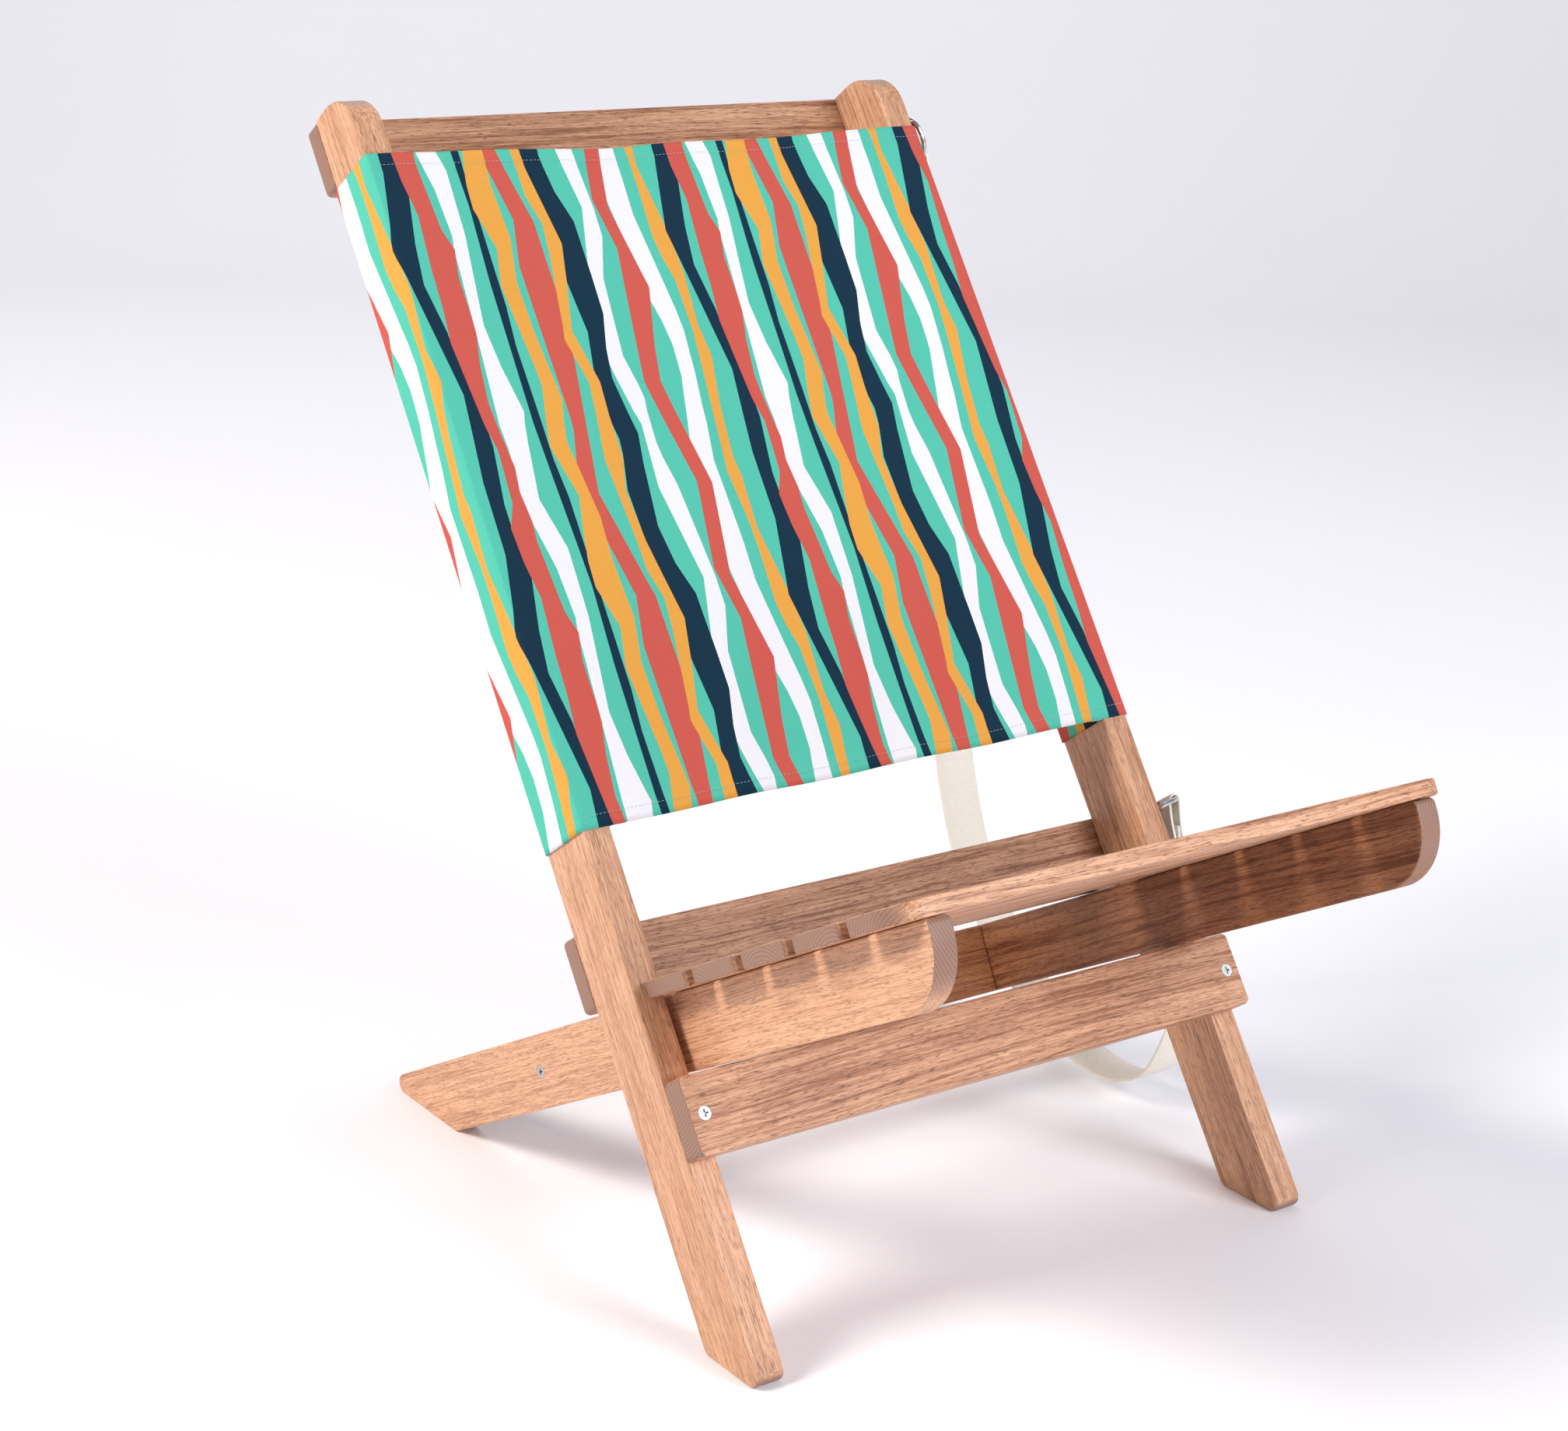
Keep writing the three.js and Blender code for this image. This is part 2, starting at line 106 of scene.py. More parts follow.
class ChairFinish(bpy.types.PropertyGroup):
    """Colours of the chair's wood, canvas, leather and strap."""

    wood_light: bpy.props.FloatVectorProperty(
        name="Wood, light", description="Pale early wood", subtype="COLOR",
        default=linear(231, 179, 142), min=0, max=1,
    )
    wood_dark: bpy.props.FloatVectorProperty(
        name="Wood, dark", description="Dark late wood", subtype="COLOR",
        default=linear(150, 98, 66), min=0, max=1,
    )
    wood_pore: bpy.props.FloatVectorProperty(
        name="Wood, pores", description="Short dark pores", subtype="COLOR",
        default=linear(92, 56, 38), min=0, max=1,
    )
    wood_end: bpy.props.FloatVectorProperty(
        name="Wood, end grain", description="Faces sawn across the grain", subtype="COLOR",
        default=linear(168, 128, 108), min=0, max=1,
    )
    canvas_ground: bpy.props.FloatVectorProperty(
        name="Canvas, ground", description="Ground between the printed bands", subtype="COLOR",
        default=linear(86, 196, 172), min=0, max=1,
    )
    canvas_navy: bpy.props.FloatVectorProperty(
        name="Canvas, navy", description="Navy bands", subtype="COLOR",
        default=linear(14, 48, 68), min=0, max=1,
    )
    canvas_coral: bpy.props.FloatVectorProperty(
        name="Canvas, coral", description="Coral bands", subtype="COLOR",
        default=linear(206, 92, 80), min=0, max=1,
    )
    canvas_white: bpy.props.FloatVectorProperty(
        name="Canvas, white", description="White bands", subtype="COLOR",
        default=linear(240, 240, 246), min=0, max=1,
    )
    canvas_amber: bpy.props.FloatVectorProperty(
        name="Canvas, amber", description="Amber bands", subtype="COLOR",
        default=linear(232, 166, 72), min=0, max=1,
    )
    leather: bpy.props.FloatVectorProperty(
        name="Leather", description="Tabs that hold the rings", subtype="COLOR",
        default=linear(122, 74, 44), min=0, max=1,
    )
    webbing: bpy.props.FloatVectorProperty(
        name="Webbing", description="Cotton carry strap", subtype="COLOR",
        default=linear(250, 244, 230), min=0, max=1,
    )
    steel: bpy.props.FloatVectorProperty(
        name="Steel", description="Rings and screws", subtype="COLOR",
        default=linear(208, 207, 204), min=0, max=1,
    )


class ChairSizes(bpy.types.PropertyGroup):
    """Sizes of the soft pieces."""

    canvas_bottom: bpy.props.FloatProperty(
        name="Canvas bottom", description="Height of the lower hem along the lean",
        default=0.398, unit="LENGTH",
    )
    canvas_top: bpy.props.FloatProperty(
        name="Canvas top", description="Height of the upper hem along the lean",
        default=0.919, unit="LENGTH",
    )
    canvas_thick: bpy.props.FloatProperty(
        name="Canvas thickness", description="One layer", default=0.0011, unit="LENGTH",
    )
    canvas_sag: bpy.props.FloatProperty(
        name="Canvas sag", description="How far the middle lies behind the uprights' fronts",
        default=0.004, unit="LENGTH",
    )
    hem: bpy.props.FloatProperty(
        name="Hem", description="Width of the turned hems", default=0.011, unit="LENGTH",
    )
    stitch: bpy.props.FloatProperty(
        name="Stitch", description="Length of one stitch", default=0.0032, unit="LENGTH",
    )
    strap_wide: bpy.props.FloatProperty(
        name="Strap width", description="Width of the webbing", default=0.040, unit="LENGTH",
    )
    strap_thick: bpy.props.FloatProperty(
        name="Strap thickness", description="Thickness of the webbing", default=0.0024, unit="LENGTH",
    )


# ---- meshes -------------------------------------------------------------------------------------


def add_mesh(name, points, faces, material, uv=None):
    """A smooth mesh object at the origin from point and face arrays, with uv given for each point."""
    mesh = bpy.data.meshes.new(name)
    mesh.from_pydata(points.reshape(-1, 3).tolist(), [], faces.tolist())
    mesh.polygons.foreach_set("use_smooth", np.ones(len(mesh.polygons), bool))
    if uv is not None:
        corner = np.zeros(len(mesh.loops), np.int32)
        mesh.loops.foreach_get("vertex_index", corner)
        layer = mesh.uv_layers.new(name="UVMap")
        layer.data.foreach_set("uv", uv.reshape(-1, 2)[corner].astype(np.float32).ravel())
    mesh.materials.append(material)
    mesh.update()
    piece = bpy.data.objects.new(name, mesh)
    bpy.context.scene.collection.objects.link(piece)
    return piece


def grid_faces(rows, columns, wrap_columns=False):
    """Quads between neighbouring points of a rows x columns grid, whose rows close on themselves if asked."""
    r = np.arange(rows - 1)
    c = np.arange(columns if wrap_columns else columns - 1)
    r, c = (a.ravel() for a in np.meshgrid(r, c, indexing="ij"))
    below, beside = r + 1, (c + 1) % columns
    return np.stack([r * columns + c, r * columns + beside, below * columns + beside, below * columns + c], 1)


def smooth_copy(node, material, angle=32):
    """A CAD node's copy with joined points, smooth over every edge that turns by less than angle."""
    mesh = frame["nodes"][node].data.copy()
    joined = bmesh.new()
    joined.from_mesh(mesh)
    bmesh.ops.remove_doubles(joined, verts=joined.verts, dist=1e-6)
    for face in joined.faces:
        face.smooth = True
    for edge in joined.edges:
        edge.smooth = edge.calc_face_angle(math.pi) < math.radians(angle)
    joined.to_mesh(mesh)
    joined.free()
    mesh.materials.clear()
    mesh.materials.append(material)
    piece = bpy.data.objects.new(node + "_finished", mesh)
    bpy.context.scene.collection.objects.link(piece)
    weighted = piece.modifiers.new("faces", "WEIGHTED_NORMAL")
    weighted.keep_sharp = True
    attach(piece, next(b for b, nodes in frame["record"]["behaviour"]["bodies"].items() if node in nodes))
    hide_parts(node)
    return piece


# ---- materials ----------------------------------------------------------------------------------


class Nodes:
    """Short calls that add shader nodes to a new material."""

    def __init__(self, name):
        """A new material that holds only a Principled shader and its output."""
        self.material = bpy.data.materials.new(name)
        self.material.use_nodes = True
        self.tree = self.material.node_tree
        self.tree.nodes.clear()
        self.shader = self.tree.nodes.new("ShaderNodeBsdfPrincipled")
        output = self.tree.nodes.new("ShaderNodeOutputMaterial")
        self.tree.links.new(self.shader.outputs[0], output.inputs[0])

    def add(self, kind, inputs=None, **settings):
        """A node of this kind: settings are its properties, inputs its sockets' values or links."""
        node = self.tree.nodes.new("ShaderNode" + kind)
        for key, value in settings.items():
            setattr(node, key, value)
        for key, value in (inputs or {}).items():
            self.put(node.inputs[key], value)
        return node

    def put(self, socket, value):
        """Links an output to the socket, or sets the socket's own value."""
        if isinstance(value, bpy.types.NodeSocket):
            self.tree.links.new(value, socket)
        elif isinstance(value, (tuple, list)) and len(value) == 3 and len(socket.default_value) == 4:
            socket.default_value = (*value, 1)
        else:
            socket.default_value = value

    def math(self, operation, *values):
        """The result of a Math node on these values."""
        node = self.add("Math", operation=operation)
        for socket, value in zip(node.inputs, values):
            self.put(socket, value)
        return node.outputs[0]

    def vector(self, operation, *values):
        """The result of a Vector Math node: a number for a length or dot product, or else a vector."""
        node = self.add("VectorMath", operation=operation)
        for socket, value in zip(node.inputs, values):
            self.put(socket, value)
        return node.outputs["Value" if operation in ("LENGTH", "DOT_PRODUCT") else 0]

    def noise(self, at, scale=1.0, detail=3.0, rough=0.5):
        """Smooth noise at the given place, about 0.5 in the middle."""
        node = self.add("TexNoise", {"Vector": at, "Scale": scale, "Detail": detail, "Roughness": rough})
        return node.outputs["Fac"]

    def ramp(self, value, low, high, to_low=0.0, to_high=1.0):
        """A smooth step from to_low below low to to_high above high."""
        node = self.add("MapRange", interpolation_type="SMOOTHSTEP")
        for key, number in zip(("Value", "From Min", "From Max", "To Min", "To Max"),
                               (value, low, high, to_low, to_high)):
            self.put(node.inputs[key], number)
        return node.outputs["Result"]

    def mix(self, share, first, second):
        """A colour that goes from first to second as share goes from 0 to 1."""
        node = self.add("Mix", data_type="RGBA")
        for key, value in ((0, share), (6, first), (7, second)):
            self.put(node.inputs[key], value)
        return node.outputs[2]

    def bump(self, height, strength, distance):
        """Gives the shader a relief from height."""
        node = self.add("Bump", {"Height": height, "Strength": strength, "Distance": distance})
        self.tree.links.new(node.outputs[0], self.shader.inputs["Normal"])

    def set(self, **values):
        """Shader sockets by name, with _ for a space."""
        for key, value in values.items():
            self.put(self.shader.inputs[key.replace("_", " ")], value)


def wood(name, way, pith, streaks=1.0, tone_and_shade=1.0):
    """Oiled hardwood whose grain runs along way and whose rings circle a line through pith.

    Streaks, fibres and pores are noise stretched along the grain by ever finer steps. Faces that cut across
    the grain, where the normal lies along it, turn to grey-brown end grain with rings, a sine of the distance
    from the pith. The last argument scales the side-grain colours: each board's own tone, and for the boards
    under the seat also painted shade.
    """
    look = bpy.context.scene.chair_finish
    kit = Nodes(name)
    turn = Vector(way).rotation_difference(Vector((0, 0, 1))).to_euler()
    frame_node = kit.add("TexCoord")
    at = kit.add("Mapping", {"Vector": frame_node.outputs["Object"], "Rotation": turn}).outputs[0]
    centre = Vector(pith)
    centre.rotate(turn)
    at = kit.vector("SUBTRACT", at, tuple(centre))
    drift = kit.add("TexNoise", {"Vector": kit.vector("MULTIPLY", at, (6.0, 6.0, 2.2)), "Scale": 1.0})
    drift = kit.vector("MULTIPLY", kit.vector("SUBTRACT", drift.outputs["Color"], (0.5, 0.5, 0.5)),
                       (0.022, 0.022, 0.0))
    at = kit.vector("ADD", at, drift)
    broad = kit.noise(kit.vector("MULTIPLY", at, (48.0, 48.0, 2.0)), 1.0, 2.0, 0.5)
    streak = kit.noise(kit.vector("MULTIPLY", at, (260.0, 260.0, 5.0)), 1.0, 3.0, 0.65)
    fibre = kit.noise(kit.vector("MULTIPLY", at, (900.0, 900.0, 30.0)), 1.0, 2.0, 0.6)
    pores = kit.noise(kit.vector("MULTIPLY", at, (1250.0, 1250.0, 130.0)), 1.0, 1.0, 0.5)
    pores = kit.ramp(pores, 0.56, 0.70)
    share = kit.math("MULTIPLY", kit.ramp(broad, 0.36, 0.68), 0.34 * streaks)
    share = kit.math("ADD", share, kit.math("MULTIPLY", kit.ramp(streak, 0.44, 0.70), 0.62 * streaks))
    share = kit.math("ADD", share, kit.math("MULTIPLY", kit.ramp(fibre, 0.36, 0.68), 0.46))
    # This factor is each board's own tone, and for the boards under the seat also painted shade.
    light, dark, pore = (tuple(np.multiply(colour, tone_and_shade))
                         for colour in (look.wood_light, look.wood_dark, look.wood_pore))
    colour = kit.mix(share, light, dark)
    colour = kit.mix(kit.math("MULTIPLY", pores, 0.35 + 0.3 * min(1.0, streaks)), colour, pore)
    radius = kit.vector("LENGTH", kit.vector("MULTIPLY", at, (1.0, 1.0, 0.0)))
    rings = kit.ramp(kit.math("SINE", kit.math("MULTIPLY", radius, 2400.0)), -0.8, 1.0)
    speck = kit.noise(kit.vector("MULTIPLY", at, (1500.0, 1500.0, 60.0)), 1.0, 2.0, 0.6)
    cut = kit.math("ADD", kit.math("MULTIPLY", rings, 0.35), kit.math("MULTIPLY", speck, 0.5))
    cut = kit.mix(cut, tuple(look.wood_end), tuple(0.42 * c for c in look.wood_end))
    facing = kit.math("ABSOLUTE", kit.vector("DOT_PRODUCT", frame_node.outputs["Normal"], tuple(way)))
    colour = kit.mix(kit.ramp(facing, 0.35, 0.85), colour, cut)
    kit.set(Base_Color=colour, Roughness=0.46, Specular_IOR_Level=0.4)
    relief = kit.math("SUBTRACT", kit.math("MULTIPLY", fibre, 0.5), pores)
    kit.bump(relief, 0.22, 0.0004)
    return kit.material


def steel(name, roughness, metallic):
    """Bright stainless steel, faintly cloudy."""
    look = bpy.context.scene.chair_finish
    kit = Nodes(name)
    at = kit.add("TexCoord").outputs["Object"]
    cloud = kit.noise(at, 260.0, 4.0, 0.6)
    dim = tuple(0.72 * c for c in look.steel)
    kit.set(Base_Color=kit.mix(kit.ramp(cloud, 0.3, 0.8), tuple(look.steel), dim), Metallic=metallic)
    kit.set(Roughness=kit.ramp(cloud, 0.2, 0.9, roughness, roughness + 0.12))
    return kit.material


def leather(name):
    """Smooth vegetable-tanned leather with fine creases."""
    look = bpy.context.scene.chair_finish
    kit = Nodes(name)
    at = kit.add("TexCoord").outputs["Object"]
    creases = kit.add("TexVoronoi", {"Vector": at, "Scale": 900.0}, feature="DISTANCE_TO_EDGE")
    cloud = kit.noise(at, 60.0, 4.0, 0.6)
    dark = tuple(0.45 * c for c in look.leather)
    kit.set(Base_Color=kit.mix(kit.ramp(cloud, 0.35, 0.75), tuple(look.leather), dark), Roughness=0.5)
    kit.bump(kit.ramp(creases.outputs["Distance"], 0.0, 0.12), 0.25, 0.0003)
    return kit.material


def woven(kit, pitch, depth, strength):
    """Plain weave relief on the piece's own UV in metres: sin(u) sin(v) with one thread per pitch."""
    uv = kit.add("UVMap").outputs[0]
    step = 2 * math.pi / pitch
    parts = kit.add("SeparateXYZ", {"Vector": kit.vector("MULTIPLY", uv, (step, step, 0.0))})
    warp = kit.math("SINE", parts.outputs[0])
    weft = kit.math("SINE", parts.outputs[1])
    relief = kit.math("MULTIPLY", warp, weft)
    slub = kit.noise(kit.vector("MULTIPLY", uv, (2200.0, 260.0, 1.0)), 1.0, 2.0, 0.6)
    kit.bump(kit.math("ADD", relief, slub), strength, depth)
    return relief, slub


# The print's bands in one repeat, in millimetres: each edge runs through [up, across] corners. A band is
# drawn over those before it, and the repeat starts across at PRINT_START, where only the ground shows. Over a
# sleeve's outer side the print runs at the share PRINT_SIDE of the true distance, so bands look wider there.
PRINT_WIDE = 234
PRINT_HIGH = 300
PRINT_START = 66.8
PRINT_SIDE = 0.74
PRINT = [
    ("navy", [(0, 69), (110, 70.6), (172, 73.6), (205, 72.6), (260, 70.4)],
     [(0, 76), (60, 75.3), (92, 77.8), (150, 78.2), (240, 78.6), (270, 76)]),
    ("coral", [(0, 100.8), (122, 99.5), (160, 107), (203, 98), (222, 97), (262, 93), (290, 100)],
     [(0, 113), (45, 120), (95, 124), (158, 123.5), (163, 122), (240, 104), (270, 108.5)]),
    ("amber", [(0, 80), (27, 86), (45, 85), (108, 79), (138, 85.5), (170, 76.2), (190, 77), (210, 80.5),
               (240, 87), (280, 76.5)],
     [(0, 95), (15, 99), (70, 94.2), (110, 93.2), (145, 99.6), (188, 97.2), (222, 99), (260, 94.5),
      (282, 91.4)]),
    ("white", [(0, 156.5), (32, 150), (42, 148.5), (60, 150), (112, 156), (166, 168.2), (240, 156),
               (290, 159.4)],
     [(0, 168), (10, 169.5), (22, 168), (45, 163), (108, 167.6), (142, 178.2), (165, 178.4), (240, 172.5),
      (262, 168), (275, 166.8)]),
    ("navy", [(0, 134), (27, 134), (36, 133.5), (66, 139), (108, 135), (200, 130.2), (240, 128.8),
              (268, 134.8), (280, 136), (292, 134)],
     [(0, 151), (28, 147.2), (52, 150.5), (80, 157.7), (110, 158), (155, 157.4), (180, 149), (210, 144.7),
      (260, 150), (283, 153.8)]),
    ("amber", [(0, 123), (26, 126), (62, 117.4), (72, 119.6), (130, 128), (155, 130), (178, 123.2),
               (200, 122.8), (265, 118)],
     [(0, 134), (26, 135.6), (68, 126), (105, 134.6), (138, 141.2), (200, 130.5), (240, 127.4),
      (266, 134), (285, 134)]),
    ("white", [(0, 202), (25, 207.5), (50, 208.7), (70, 206.3), (92, 201), (150, 194.8), (172, 192),
               (238, 199), (272, 195.6), (290, 200)],
     [(0, 217), (25, 220), (60, 222.5), (78, 221.3), (158, 211.5), (190, 212.3), (255, 210.8), (285, 215.6)]),
    ("coral", [(0, 178), (23, 174), (131, 187.8), (172, 179.4), (240, 189.8)],
     [(0, 191.5), (22, 188.2), (50, 193), (98, 204.8), (166, 191.6), (238, 202.6)]),
    ("amber", [(0, 225), (30, 228), (60, 230.3), (102, 229.2), (120, 224.5), (138, 222), (180, 223.4),
               (205, 223), (245, 219), (260, 221)],
     [(0, 233), (38, 239.8), (64, 236.5), (112, 239), (147, 236), (198, 228.5), (240, 230.5), (256, 228.8)]),
    ("navy", [(0, 251.5), (26, 254), (143, 235.4), (203, 246.6), (258, 247.3)],
     [(0, 264), (66, 257.5), (75, 257), (113, 250.6), (145, 254), (183, 261.2), (218, 258.4), (240, 258.4),
      (285, 264.3)]),
    ("white", [(0, 274.8), (70, 279.8), (139, 284), (150, 286), (188, 283.8), (225, 276), (250, 273),
               (280, 276)],
     [(0, 296), (9, 298.4), (45, 291.5), (78, 288.2), (150, 296.8), (202, 298.2), (241, 287.7),
      (285, 293.5)]),
    ("coral", [(0, 263), (66, 257), (95, 259.6), (125, 260.5), (168, 263.6), (195, 259.2), (222, 257.5),
               (240, 265), (281, 267.1)],
     [(0, 273), (18, 271.8), (48, 275), (72, 280), (82, 280.5), (118, 280.5), (139, 284.6), (155, 279),
      (210, 275), (225, 276.3), (248, 274), (267, 276.4)]),
]


def printed_canvas(name, strength):
    """Canvas printed with tall angular bands: a band shows where across lies between its two edges.

    Strength is the print's share over white, below one for the reverse, where it shows through faintly.
    """
    look = bpy.context.scene.chair_finish
    kit = Nodes(name)
    relief, slub = woven(kit, 0.0011, 0.0002, 0.35)
    parts = kit.add("SeparateXYZ", {"Vector": kit.add("UVMap").outputs[0]})
    repeat = kit.math("FRACT", kit.math("DIVIDE", parts.outputs[1], PRINT_HIGH / 1000))
    across = kit.math("DIVIDE", kit.math("SUBTRACT", parts.outputs[0], PRINT_START / 1000), PRINT_WIDE / 1000)
    across = kit.math("FRACT", across)

    def edge(corners):
        """The edge's place across, 0 to 1 of the repeat, straight between corners and closing on itself."""
        node = kit.add("FloatCurve", {"Value": repeat})
        curve = node.mapping.curves[0]
        closed = [*corners, (PRINT_HIGH, corners[0][1])]
        places = [(up / PRINT_HIGH, (side - PRINT_START) / PRINT_WIDE) for up, side in closed]
        curve.points[0].location = places[0]
        curve.points[1].location = places[-1]
        for spot in places[1:-1]:
            curve.points.new(*spot)
        for point in curve.points:
            point.handle_type = "VECTOR"
        node.mapping.update()
        return node.outputs[0]

    colour = tuple(look.canvas_ground)
    for band, left, right in PRINT:
        inside = kit.math("MULTIPLY", kit.math("GREATER_THAN", across, edge(left)),
                          kit.math("LESS_THAN", across, edge(right)))
        colour = kit.mix(inside, colour, tuple(getattr(look, "canvas_" + band)))
    if strength < 1:
        colour = kit.mix(strength, tuple(look.canvas_white), colour)
    # Painted shade: the colour darkens by up to 8% towards black where the weave's relief is low.
    shade = kit.ramp(kit.math("ADD", relief, slub), -0.6, 1.6, 0.08, 0.0)
    colour = kit.mix(shade, colour, (0.0, 0.0, 0.0))
    kit.set(Base_Color=colour, Roughness=0.9, Specular_IOR_Level=0.2)
    return kit.material


def webbing(name):
    """Cotton webbing: ribs along its length and a fine weave across, on its own UV in metres."""
    look = bpy.context.scene.chair_finish
    kit = Nodes(name)
    relief, slub = woven(kit, 0.0017, 0.0005, 0.6)
    # Painted shade: the colour darkens by up to 12% where the weave's relief is low.
    shade = kit.ramp(kit.math("ADD", relief, slub), -0.9, 1.7, 0.2, 0.0)
    kit.set(Base_Color=kit.mix(shade, tuple(look.webbing), tuple(0.4 * c for c in look.webbing)))
    kit.set(Roughness=0.92, Sheen_Weight=0.1)
    return kit.material


def thread(name, colour):
    """Spun sewing thread."""
    kit = Nodes(name)
    at = kit.add("TexCoord").outputs["Object"]
    twist = kit.noise(at, 2500.0, 2.0, 0.5)
    kit.set(Base_Color=kit.mix(kit.ramp(twist, 0.3, 0.8), colour, tuple(0.7 * c for c in colour)))
    kit.set(Roughness=0.7)
    return kit.material


# ---- canvas sling -------------------------------------------------------------------------------

CANVAS_STEP = 0.0028
CANVAS_ROWS = 112
CANVAS_LAP = 0.0013
PRINT_ORIGIN = (0.020, 0.400)
BULGE_HALF = 0.0236
BULGE_EASE = 0.0034
BULGE_START = 0.862
BULGE_RISE = 0.0058
STITCH_RADIUS = 0.00018

def rounded_path(corners, radius, step):
    """Points along straight runs between corners, each corner an arc of radius, about step apart.

    An arc's points are centre + radius (cos a, sin a) between the two runs' tangent points.
    """
    corners = np.array(corners, float)
    pieces = [corners[:1]]
    for before, here, after in zip(corners[:-2], corners[1:-1], corners[2:]):
        back = (before - here) / np.linalg.norm(before - here)
        ahead = (after - here) / np.linalg.norm(after - here)
        half = math.acos(np.clip(back @ ahead, -1, 1)) / 2
        reach = radius / math.tan(half)
        middle = here + (back + ahead) / np.linalg.norm(back + ahead) * radius / math.sin(half)
        start, end = here + back * reach - middle, here + ahead * reach - middle
        share = np.linspace(0, 1, 6)[:, None]
        arc = start * (1 - share) + end * share
        arc = middle + radius * arc / np.linalg.norm(arc, axis=1, keepdims=True)
        pieces += [straight_run(pieces[-1][-1], arc[0], step)[1:-1], arc]
    return np.concatenate([*pieces, straight_run(pieces[-1][-1], corners[-1], step)[1:]])


def straight_run(start, end, step):
    """Evenly spaced points from start to end, about step apart."""
    return np.linspace(start, end, max(2, round(np.linalg.norm(end - start) / step)))


def canvas_surface(sizes, u_step, rows):
    """The sling's middle surface as (points, uv): its cross profile carried up the lean.

    The profile starts behind the panel, goes round the left upright, across the front and round the right
    one. s runs from the lower to the upper hem as v runs from 0 to 1. Between the uprights n gains
    (1 - (x / inner)^2) (sag sin(pi v)^0.7 + ripple). The upper hem dips in the middle, the lower one rises
    from left to right, and both wave a little.
    """
    wall = 0.0003 + sizes.canvas_thick / 2
    outer = HALF + wall
    inner = HALF - UPRIGHT_THICK - wall
    front, rear = -wall, UPRIGHT_DEEP + wall
    seam = inner - 0.012
    behind = front + CANVAS_LAP
    corners = [(-seam, behind), (-inner, behind), (-inner, rear), (-outer, rear), (-outer, front),
               (outer, front), (outer, rear), (inner, rear), (inner, behind), (seam, behind)]
    profile = rounded_path(corners, 0.0018, u_step)
    x, n = profile[:, 0], profile[:, 1]
    run = np.concatenate([[0], np.cumsum(np.linalg.norm(np.diff(profile, axis=0), axis=1))])
    middle = np.interp(0, x[np.abs(n - front) < 1e-5], run[np.abs(n - front) < 1e-5])
    along = run - middle
    side = np.clip(np.abs(along) - outer, 0, UPRIGHT_DEEP)
    along = along - np.sign(along) * side * (1 - PRINT_SIDE)
    v = np.linspace(0, 1, rows)[:, None]
    free = np.clip(1 - (x / (HALF - UPRIGHT_THICK)) ** 2, 0, None)
    low = sizes.canvas_bottom + 0.005 * (x + HALF) / (2 * HALF) + 0.0008 * free * np.sin(41 * x)
    high = sizes.canvas_top - 0.0048 * free + free * 0.0013 * np.sin(38 * x + 0.8)
    s = low + (high - low) * v
    ripple = 0.0007 * np.sin(26 * x + 5 * v) * np.sin(9 * v + 2) + 0.0004 * np.sin(70 * x - 8 * v)
    n = n + free * (sizes.canvas_sag * np.sin(math.pi * v) ** 0.7 + ripple)
    hem = np.minimum(s - low, high - s) < sizes.hem
    n = n - np.where(hem & (np.abs(x) < inner), 0.0004, 0.0)
    x = x + tab_bulge(x, n, s)
    uv = np.stack(np.broadcast_arrays(along + PRINT_ORIGIN[0], s - PRINT_ORIGIN[1]), -1)
    return lean(x, n, s), uv, (x, n, s)


def tab_bulge(x, n, s):
    """How far the right sleeve stands off over the upper leather tab: BULGE_RISE times steps in n and s.

    Both steps are smooth, and the one in n ends between the ring's legs, so the sleeve doesn't reach them.
    """
    side = np.clip((x - HALF) / 0.0006, 0, 1)
    across = np.clip((BULGE_HALF - np.abs(n - RING_DEPTH)) / BULGE_EASE, 0, 1)
    up = np.clip((s - BULGE_START) / 0.010, 0, 1)
    ease = across * across * (3 - 2 * across) * up * up * (3 - 2 * up)
    return BULGE_RISE * side * ease


def stitches(name, path, facing, length, material):
    """A row of stitches along a path of points: each is a low six-sided spindle, 60% of its pitch long.

    A spindle's points are at + along t + radius (1 - t^2)^0.5 (side cos a + facing sin a).
    """
    run = np.concatenate([[0], np.cumsum(np.linalg.norm(np.diff(path, axis=0), axis=1))])
    count = int(run[-1] / length)
    at = (np.arange(count) + 0.5) * run[-1] / count
    place = np.stack([np.interp(at, run, path[:, i]) for i in range(3)], 1)
    ahead = np.gradient(place, axis=0)
    ahead /= np.linalg.norm(ahead, axis=1, keepdims=True)
    up = np.broadcast_to(facing, place.shape)
    side = np.cross(ahead, up)
    t = np.array([-1, -0.6, 0.6, 1])
    angle = np.arange(6) * math.pi / 3
    radius = STITCH_RADIUS * np.array([0.25, 1, 1, 0.25])
    points = (place[:, None, None]
              + ahead[:, None, None] * (t * 0.3 * length)[None, :, None, None]
              + radius[None, :, None, None] * (side[:, None, None] * np.cos(angle)[None, None, :, None]
                                               + up[:, None, None] * np.sin(angle)[None, None, :, None]))
    one = grid_faces(4, 6, wrap_columns=True)
    faces = (one[None] + (np.arange(count) * 24)[:, None, None]).reshape(-1, 4)
    piece = add_mesh(name, points, faces, material)
    close_ends(piece)
    return piece


def close_ends(piece):
    """Fills every open rim of a piece's mesh and points its faces outwards."""
    filled = bmesh.new()
    filled.from_mesh(piece.data)
    bmesh.ops.holes_fill(filled, edges=[edge for edge in filled.edges if edge.is_boundary], sides=0)
    bmesh.ops.recalc_face_normals(filled, faces=filled.faces)
    filled.to_mesh(piece.data)
    filled.free()


